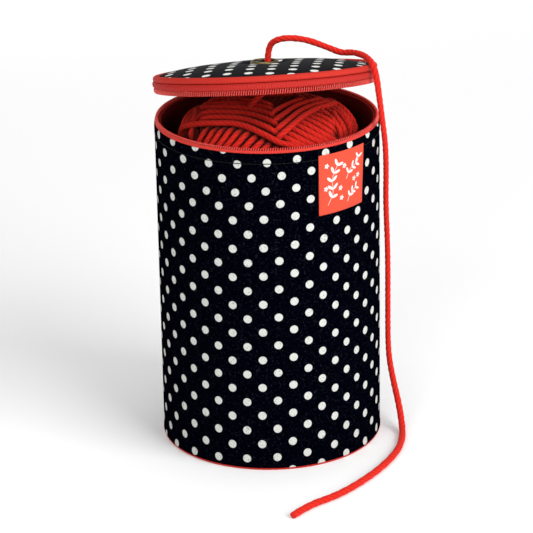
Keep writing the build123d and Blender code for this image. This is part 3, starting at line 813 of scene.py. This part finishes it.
def gather_shift(place):
    """Soft gathers of the lid's lining towards its eyelet."""
    azimuth, radius = to_polar(place)
    if place.z > LID_LINING_LOW + 0.2 or radius < BARREL_R + 0.5:
        return place
    drawn = 0.3 * wrinkle(azimuth, gather_waves) * bell(radius - 18.0, 22.0)
    return place + UP * max(0.0, drawn)


lid_lining_profile = smooth_profile([
    (BARREL_R, LID_LINING_LOW), (LID_LINING_R - 0.4, LID_LINING_LOW), (LID_LINING_R, LID_LINING_LOW + 0.3),
    (LID_LINING_R, LID_LINING_TOP), (BARREL_R, LID_LINING_TOP), (BARREL_R, LID_LINING_LOW + 0.1)], 5.0)
lid_lining = ring_piece("lid_lining_cloth", lid_lining_profile, 240, shaded_lining_cloth, "lid", "lining",
                        "lid_lining", flat_map=True, shift=gather_shift)
side_in = SIDE_R - 1.0
side_profile = [(side_in, SIDE_LOW + 0.3), (side_in + 0.3, SIDE_LOW), (SIDE_R - 0.3, SIDE_LOW),
                (SIDE_R, SIDE_LOW + 0.3), (SIDE_R, SIDE_TOP), (side_in, SIDE_TOP)]
ring_piece("lid_side_lining_cloth", side_profile, 360, shaded_lining_cloth, "lid", "lining", "lid_side_lining")

# --- Lid ------------------------------------------------------------------------------------


def piping_shift(place):
    """The piping rolls down a little at the back left."""
    away = (atan2(place.y, place.x) - radians(150.0) + pi) % (2 * pi) - pi
    return place - UP * 1.3 * bell(away, radians(42.0))


piping_profile = round_bar(PIPING_OUTER - PIPING_R, PIPING_LOW + PIPING_R, PIPING_R, 16)
ring_piece("lid_edge_piping", piping_profile, 420, piping_cloth, "lid", "red_piping", "lid_piping",
           shift=piping_shift)

FLANGE_LOW = DOME_TOP - 0.1
FLANGE_TILT = radians(5.5)


def flange_shift(place):
    """The flange sits lower at the front, where the wadding gives way more."""
    if place.z < FLANGE_LOW - 1.0:
        return place
    return place + UP * place.y * sin(FLANGE_TILT)


pad_waves = [(31, 0.3), (43, 1.7), (58, 5.1)]
swell_waves = [(2, 1.0), (3, 3.3), (5, 0.2)]


def pad_height(radius):
    """The cotton's height over the wadding, with a dimple round the eyelet."""
    crown = DOME_TOP - DOME_RISE * (radius / DOME_R) ** 3.2
    return crown - 0.75 * bell(radius - 9.0, 4.5)


def pad_shift(place):
    """Puckers at the edge seam and at the eyelet, and a slow swell between them."""
    azimuth, radius = to_polar(place)
    if place.z < BOARD_TOP + 0.6:
        return place
    lift = 0.28 * bell(DOME_R - 1.5 - radius, 4.0) * wrinkle(azimuth, pad_waves)
    lift += 0.2 * bell(radius - 13.0, 4.0) * cos(14 * azimuth + 0.6)
    lift += place.y * sin(FLANGE_TILT) * bell(max(0.0, radius - FLANGE_R), 4.0)
    lift += 0.3 * wrinkle(azimuth, swell_waves) * sin(pi * min(1.0, radius / DOME_R)) ** 2
    return place + UP * lift


pad_rows = [BARREL_R + 0.1 + (DOME_R - 1.6 - BARREL_R) * i / 34 for i in range(35)]
pad_profile = [(BARREL_R + 0.1, BOARD_TOP + 0.05)] + [(r, pad_height(r)) for r in pad_rows]
pad_profile += near(DOME_R, DOME_SEAM, (-0.7, 0.15), (0.05, -0.5), (0.1, -1.1))
pad_profile += [(DOME_R - 0.3, BOARD_TOP + 0.05)]
lid_top = ring_piece("padded_lid_top", pad_profile, 360, lit_lid_cloth, "lid", "dotted_cotton", "lid_cotton",
                     "lid_wadding", flat_map=True, shift=pad_shift)

eyelet_profile = near(EYELET_HOLE, FLANGE_LOW, (0.8, -0.1), (0.8, 0.5))
eyelet_profile += near(EYELET_HOLE, FLANGE_TOP, (0.95, -0.2), (1.3, -0.02), (1.7, -0.05), (2.2, -0.3))
eyelet_profile += near(FLANGE_R, FLANGE_LOW, (-0.25, 0.4), (0.0, 0.0), (-0.15, -0.2))
eyelet_profile += near(BARREL_R, FLANGE_LOW, (0.6, -0.25))
barrel_profile = [(EYELET_HOLE, BARREL_LOW + 0.2)]
barrel_profile += near(EYELET_HOLE, FLANGE_LOW, (0.0, -1.6), (0.3, -0.4))
barrel_profile += near(BARREL_R, FLANGE_LOW, (0.1, -0.3), (0.0, -1.6))
barrel_profile += near(BARREL_R, BARREL_LOW, (0.0, 0.25), (-0.2, 0.0)) + [(EYELET_HOLE + 0.15, BARREL_LOW)]
ring_piece("eyelet_ring", eyelet_profile, 96, brass, "lid", "antique_brass", "eyelet", shift=flange_shift)
ring_piece("eyelet_barrel", barrel_profile, 96, shaded_barrel_brass, "lid", "antique_brass")
washer_profile = [(BARREL_R + 0.05, WASHER_TOP)]
washer_profile += near(BARREL_R, WASHER_LOW, (0.05, 0.2), (0.3, 0.0))
washer_profile += near(WASHER_R, WASHER_LOW, (-0.5, 0.0), (-0.1, 0.3)) + [(WASHER_R, WASHER_TOP)]
ring_piece("washer_ring", washer_profile, 96, brass, "lid", "antique_brass", "eyelet_washer")

# --- Label ----------------------------------------------------------------------------------
LABEL_HEIGHT = LABEL_TOP - LABEL_LOW
SEAM_INSET, STITCH_STEP = 1.7, 2.6
SEAM_DIP = 0.12
# The label is sewn on a little askew: its lower right corner lies this far off, across and up.
ASKEW = (-2.4, 0.9)


def on_label(across, up, lift):
    """A point of the label in mm: across from its middle, up from its lower edge."""
    pull = (across / LABEL_WIDTH + 0.5) * (1 - up / LABEL_HEIGHT)
    across, up = across + ASKEW[0] * pull, up + ASKEW[1] * pull
    return polar(LABEL_R + lift, radians(LABEL_AZIMUTH) + across / LABEL_R, LABEL_LOW + up)


label_bm = bmesh.new()
bmesh.ops.create_grid(label_bm, x_segments=40, y_segments=40, size=0.5)
bmesh.ops.solidify(label_bm, geom=label_bm.faces[:], thickness=0.012)
for vertex in label_bm.verts:
    across, up = vertex.co.x * LABEL_WIDTH, (vertex.co.y + 0.5) * LABEL_HEIGHT
    outer_face = vertex.co.z > -0.006
    edge_gap = min(LABEL_WIDTH / 2 - abs(across), up, LABEL_HEIGHT - up)
    dip = SEAM_DIP * bell(edge_gap - SEAM_INSET, 0.5) if edge_gap <= 3.0 else 0.0
    vertex.co = on_label(across, up, 0.08 - dip if outer_face else -0.38)
label = object_from(label_bm, "cotton_label", label_cloth)
stand_in(label, "box", "label", "side_label")

# A stitch's four places: how far along it, and how far out of the cloth.
label_stitch = ((0.0, -0.2), (0.3, 0.1), (1.5, 0.1), (1.8, -0.2))
stitch_lines = []
for side in (-1, 1):
    for i in range(int((LABEL_HEIGHT - 2 * SEAM_INSET) / STITCH_STEP)):
        low = SEAM_INSET + 0.6 + i * STITCH_STEP
        across = side * (LABEL_WIDTH / 2 - SEAM_INSET)
        stitch_lines.append([on_label(across, low + run, out) for run, out in label_stitch])
    for i in range(int((LABEL_WIDTH - 2 * SEAM_INSET) / STITCH_STEP)):
        left = -LABEL_WIDTH / 2 + SEAM_INSET + 0.6 + i * STITCH_STEP
        up = SEAM_INSET if side < 0 else LABEL_HEIGHT - SEAM_INSET
        stitch_lines.append([on_label(left + run, up, out) for run, out in label_stitch])
stand_in(tubes("label_stitches", stitch_lines, label_thread, radius=0.2), "box", "label")

# The print is a plain pattern of sprigs and small flowers, placed in mm on the label.
PRINT_LIFT = 0.12
PETALS, LEAF_LEAN = 5, radians(48)
print_lines = []
print_spots = []


def sprig(stem, leaves, leaf_length):
    """A bent stem, by its points, with leaves in pairs along it."""
    line = through([Vector((x, y, 0.0)) for x, y in stem], 0.8)
    print_lines.append([on_label(place.x, place.y, PRINT_LIFT) for place in line])
    for i in range(leaves):
        index = round((i + 1) * (len(line) - 1) / (leaves + 0.4))
        along = (line[min(index + 1, len(line) - 1)] - line[index - 1]).normalized()
        for side in (-1, 1):
            lean = Matrix.Rotation(side * LEAF_LEAN, 3, "Z") @ along
            middle = line[index] + lean * (leaf_length / 2 + 0.3)
            print_spots.append((middle, lean, leaf_length / 2, leaf_length * 0.2))


sprig([(-13, 6), (-9, 14), (-9.5, 24), (-4.5, 34)], 5, 5.0)
sprig([(4, 5), (7, 10), (13, 13.5)], 3, 3.8)
sprig([(2.5, 21), (6, 27), (12.5, 30), (14.5, 34.5)], 4, 4.2)
for x, y in ((-1.5, 9.0), (-2.6, 16.0), (-14.0, 33.0), (14.0, 21.0), (10.0, 19.5), (0.5, 30.5),
             (-14.5, 17.5)):
    for i in range(PETALS):
        petal = polar(1.0, 2 * pi * i / PETALS)
        print_spots.append((Vector((x, y, 0.0)) + petal * 1.05, petal, 0.8, 0.5))
print_bm = bmesh.new()
for middle, along, half_length, half_width in print_spots:
    ring = bmesh.ops.create_circle(print_bm, cap_ends=True, segments=12, radius=1.0)["verts"]
    side = Vector((-along.y, along.x, 0.0))
    for vertex in ring:
        flat = middle + along * (vertex.co.x * half_length) + side * (vertex.co.y * half_width)
        vertex.co = on_label(flat.x, flat.y, PRINT_LIFT)
stand_in(object_from(print_bm, "label_print", label_print), "box", "label")
stand_in(tubes("label_print_stems", print_lines, label_print, radius=0.22), "box", "label")


# --- Yarn inside ----------------------------------------------------------------------------
class Ball:
    """A wound ball, with its sizes in mm. A higher power makes it flatter on top and underneath."""

    search = 110.0  # how far before and behind its middle a line of sight is followed
    guide_step = 9.0  # between the points that guide a band's strands

    def __init__(self, radius, low, high, power):
        """Its middle lies on the box's axis, halfway between low and high."""
        self.radius, self.half, self.power = radius, (high - low) / 2, power
        self.centre = Vector((0, 0, (high + low) / 2))

    def depth(self, place):
        """How far a point lies under the ball's surface."""
        out = place - self.centre
        share = (hypot(out.x, out.y) / self.radius) ** self.power + (abs(out.z) / self.half) ** self.power
        return (1 - share ** (1 / self.power)) * out.length

    def note_depth(self, winding):
        """Stores each point's depth for the wool."""
        layer = winding.data.attributes.new("depth", "FLOAT", "POINT")
        for vertex, value in zip(winding.data.vertices, layer.data):
            value.value = self.depth(vertex.co / MM)

    def surface(self, direction, lift):
        """The point of the ball in a direction, lift outside it."""
        flat = hypot(direction.x, direction.y) / (self.radius + lift)
        up = abs(direction.z) / (self.half + lift)
        reach = (flat ** self.power + up ** self.power) ** (-1 / self.power)
        return self.centre + direction * reach

    def seen_at(self, across, down):
        """Where the camera's line through a pixel meets the ball, or passes nearest to it."""
        focal = camera_data.lens / camera_data.sensor_width * IMAGE_SIDE
        sight = Vector((across - IMAGE_SIDE / 2, IMAGE_SIDE / 2 - down, -focal)).normalized()
        sight = camera.matrix_world.to_3x3() @ sight
        reach = (self.centre - CAMERA_AT).dot(sight) - self.search
        nearest, deepest = None, -1e9
        # In steps of half a mm.
        for i in range(round(4 * self.search)):
            place = CAMERA_AT + sight * (reach + 0.5 * i)
            depth = self.depth(place)
            if depth > deepest:
                nearest, deepest = place, depth
            if depth > 0.0:
                break
        return nearest

    def lay(self, points, lift, step, sink=5.0, ends=9.0):
        """A strand over the ball near points. Within ends of either end, it sinks under the others."""
        line = through(points, step)
        total = measured(line)
        laid = []
        for place, run in with_runs(line):
            near_end = min(run, total - run)
            direction = (place - self.centre).normalized()
            laid.append(self.surface(direction, lift - sink * bell(near_end, ends)))
        return laid

    def band(self, axis, angles, start, arc, lift, step):
        """Parallel strands wound about an axis, at latitudes in degrees from its middle."""
        first = axis.orthogonal().normalized()
        second = axis.cross(first)
        made = []
        for angle in angles:
            reach, off = cos(radians(angle)), sin(radians(angle))
            count = max(6, ceil(radians(arc) * self.radius * reach / self.guide_step))
            ring = []
            for i in range(count + 1):
                turn = radians(start + arc * i / count)
                ring.append(self.centre + self.radius * (
                    (first * cos(turn) + second * sin(turn)) * reach + axis * off))
            made.append(self.lay(ring, lift, step))
        return made


def axis_at(azimuth, elevation):
    """A unit direction, from degrees round and degrees up."""
    a, e = radians(azimuth), radians(elevation)
    return Vector((cos(a) * cos(e), sin(a) * cos(e), sin(e)))


# The skein has three layers: the core's strands lie 7 mm under the top ones, and the next 3.3 mm.
skein = Ball(SKEIN_R + 0.3, SKEIN_LOW, SKEIN_TOP, 4.6)
TOP_LIFT = -YARN_R
base_strands = skein.band(axis_at(38, 8), [4.3 * i for i in range(-19, 20)], 0, 352, TOP_LIFT - 7.0, 3.0)
under_strands = []
for azimuth, elevation, middle, start in ((150, 12, 0, 20), (95, -14, 6, 200), (10, 20, -10, 90),
                                          (60, 30, 16, 300), (125, 35, -18, 150), (170, -30, 12, 40)):
    angles = [middle + 4.6 * (i - 3) for i in range(7)]
    under_strands += skein.band(axis_at(azimuth, elevation), angles, start, 250, TOP_LIFT - 3.3, 2.6)
top_strands = []
# A strand in sight is given by its lift over the ball and the pixels that it passes in the camera's
# picture, across and down.
SIGHT_STEP = 1.5
sight_strands = [
    # The runs from the left, which go down to the front right.
    (0.9, [(176, 139), (178, 131), (182, 126.5), (188, 124.3), (196, 122.8), (206, 122.1), (218, 121.9),
           (230, 122.2), (240, 123.6), (250, 127), (258, 130.6), (266, 134.6), (274, 139), (281, 142.3),
           (290, 144.4), (300, 146), (310, 147)]),
    (0.4, [(192, 119), (204, 116), (216, 115.4), (228, 115.6), (240, 116.8), (250, 119.3), (258, 122),
           (266, 125.3), (273, 128.7), (281, 133)]),
    (0.2, [(192, 112.5), (204, 110.2), (216, 109.6), (228, 109.8), (240, 110.5), (250, 112.2), (258, 114.3),
           (266, 116.9), (273, 119.9), (281, 124)]),
    (0.2, [(193, 106.5), (206, 105), (218, 104.6), (230, 104.8), (240, 105.3), (250, 106.6), (262, 109.2),
           (270, 111.7), (278, 115)]),
    (0.1, [(194, 102), (208, 101), (220, 100.6), (235, 100.7), (250, 101.8), (262, 104), (270, 106.2),
           (278, 109)]),
    (0.1, [(196, 98), (215, 96.8), (235, 96.8), (252, 98), (266, 100.5), (276, 103)]),
    # The runs that cross them, up to the right.
    (0.6, [(275, 139.5), (280, 135), (286, 130), (293, 124), (300, 117.8), (307, 112.8), (315, 108.3),
           (322, 105.6), (330, 103.3), (338, 101.6), (346, 101)]),
    (0.4, [(274, 130.5), (280, 125.5), (287, 120), (294, 114.3), (301, 109.2), (308, 105.6), (316, 102.6),
           (325, 100.2), (335, 98.5)]),
    (0.3, [(270, 121.5), (277, 117), (284, 112.3), (291, 107.3), (298, 103.4), (306, 100.5), (316, 97.8),
           (326, 96)]),
    (0.2, [(268, 113.5), (275, 109), (283, 104.5), (291, 100.8), (300, 97.6), (310, 95)]),
    # Short strands that climb the front shoulder.
    (-0.4, [(204, 123), (200, 133), (195, 143), (191, 152)]),
    (-0.3, [(213, 124), (208, 134), (202, 144), (197, 154)]),
    (-0.3, [(222, 124), (215, 135), (208, 146), (203, 156)]),
    (-0.2, [(231, 124), (224, 135), (215, 147), (209, 158)]),
    (-0.2, [(240, 126), (231.5, 137), (222, 149), (216, 160)]),
    (-0.2, [(249, 128), (239.5, 139), (230, 150), (224, 161)]),
    (-0.2, [(257, 132), (248, 142), (240, 151), (234, 162)]),
    (-0.2, [(265, 136), (256, 145.5), (250, 152), (244, 162)]),
    (-0.3, [(272, 140), (263, 149), (258, 154), (252, 164)]),
    (-0.4, [(281, 144), (272, 151), (267, 156), (262, 166)]),
    # A fan of tight strands on the right.
    (0.0, [(280, 132), (291, 138.5), (300, 143), (312, 149), (322, 156)]),
    (0.0, [(285, 128.5), (296, 134.6), (305, 139.5), (317, 146), (327, 153)]),
    (0.0, [(289, 124), (302, 131.2), (312, 136.7), (326, 144), (336, 151)]),
    (0.0, [(293, 120.3), (307, 127.7), (319, 134.5), (332, 142), (342, 149)]),
    (0.0, [(297, 117), (311, 124), (324, 131.5), (337, 139.5), (346, 146)]),
    (-0.1, [(301, 114), (315, 120.3), (329, 128.3), (341, 136.5)]),
    (-0.1, [(305.5, 111.3), (319, 117), (333, 125), (343, 132.5)]),
    (-0.1, [(311, 109), (324, 114.2), (336, 121.7), (344, 127.5)]),
    (-0.2, [(318, 106.8), (329, 111), (339, 117.5)]),
    # Loop ends at the left and the right.
    (-0.1, [(178, 135), (180, 124), (184.5, 114), (189, 104), (192, 95)]),
    (-0.4, [(189, 123), (192, 112), (194.5, 103), (198, 95)]),
    (-0.5, [(188.5, 122), (187.5, 133), (187, 143)]),
    (0.8, [(328, 88), (335, 92.8), (342, 98), (347.5, 104), (352, 110.5), (355.8, 117.5), (357.5, 124),
           (357, 132)]),
    (0.3, [(336, 103), (342, 108.5), (347.5, 115), (351.5, 122), (353.5, 128), (354, 135)]),
    (0.1, [(333, 106), (338, 113.5), (343, 121), (347, 128), (349, 137)]),
    (-0.1, [(331, 110), (336, 118.5), (341.5, 126.5), (344.5, 133), (346, 140)]),
]
for lift, pixels in sight_strands:
    passed = [skein.seen_at(across, down) for across, down in pixels]
    top_strands.append(skein.lay(passed, TOP_LIFT + lift, SIGHT_STEP, sink=3.0, ends=5.0))
# The back of the skein is three turned copies of a bundle, whose strands lie side by side from a
# first line to a last. Each strand is a little out of place.
bundle_first = [(-57, -8, 206), (-46, -14, 222), (-28, -22, 230), (-8, -30, 230), (12, -40, 228),
                (26, -50, 216)]
bundle_last = [(-44, -44, 196), (-34, -48, 210), (-20, -52, 218), (-4, -56, 219), (12, -58, 213),
               (24, -60, 200)]
BUNDLED = 7
for turn, lift in ((128, -0.6), (196, -0.4), (250, -0.8)):
    about_axis = Matrix.Rotation(radians(turn), 4, "Z")
    for i in range(BUNDLED):
        share = i / (BUNDLED - 1)
        jog = Vector((scatter.uniform(-0.6, 0.6), scatter.uniform(-0.6, 0.6), 0.0))
        passed = [Vector(a).lerp(Vector(b), share) + jog for a, b in zip(bundle_first, bundle_last)]
        line = skein.lay(passed, TOP_LIFT + lift + scatter.uniform(-0.25, 0.1), 2.4)
        top_strands.append([about_axis @ place for place in line])
yarn_section = plied_section("yarn_section", YARN_R - 0.05, 3, 0.13)
SKEIN_TURN = 2 * pi / 18.0  # wound yarn goes once round in 18 mm


def wound(ball, name, strands, body, *nodes):
    """Draws strands of a ball as one piece."""
    winding = tubes(name, strands, yarn_wool, section=yarn_section, twist=SKEIN_TURN)
    ball.note_depth(winding)
    stand_in(winding, body, "yarn", *nodes)


wound(skein, "skein_core_winding", base_strands, "skein", "yarn_skein")
wound(skein, "skein_under_winding", under_strands, "skein")
wound(skein, "skein_top_winding", top_strands, "skein")

spare = Ball(SPARE_R, SPARE_LOW, SPARE_TOP, 2.5)
spare_strands = spare.band(axis_at(75, 10), [3.9 * i for i in range(-21, 22)], 0, 352, TOP_LIFT - 2.0, 5.0)
for azimuth, elevation, middle, start in ((20, 25, 0, 0), (140, -20, 8, 120), (80, 40, -12, 240)):
    angles = [middle + 4.4 * (i - 4) for i in range(9)]
    spare_strands += spare.band(axis_at(azimuth, elevation), angles, start, 280, TOP_LIFT, 4.0)
wound(spare, "spare_ball_winding", spare_strands, "box", "spare_yarn_ball")

# --- CAD nodes inside the wall and lid --------------------------------------------------------
for node, surface, slot in (("wall_wadding", fleece, "wadding"), ("wall_stiffener", board, "stiffener"),
                            ("base_board", board, "stiffener"), ("lid_board", board, "stiffener"),
                            ("lower_zip_tape", tape_cloth, "zip_tape")):
    part = frame["nodes"][node]
    part.data.materials.clear()
    part.data.materials.append(surface)
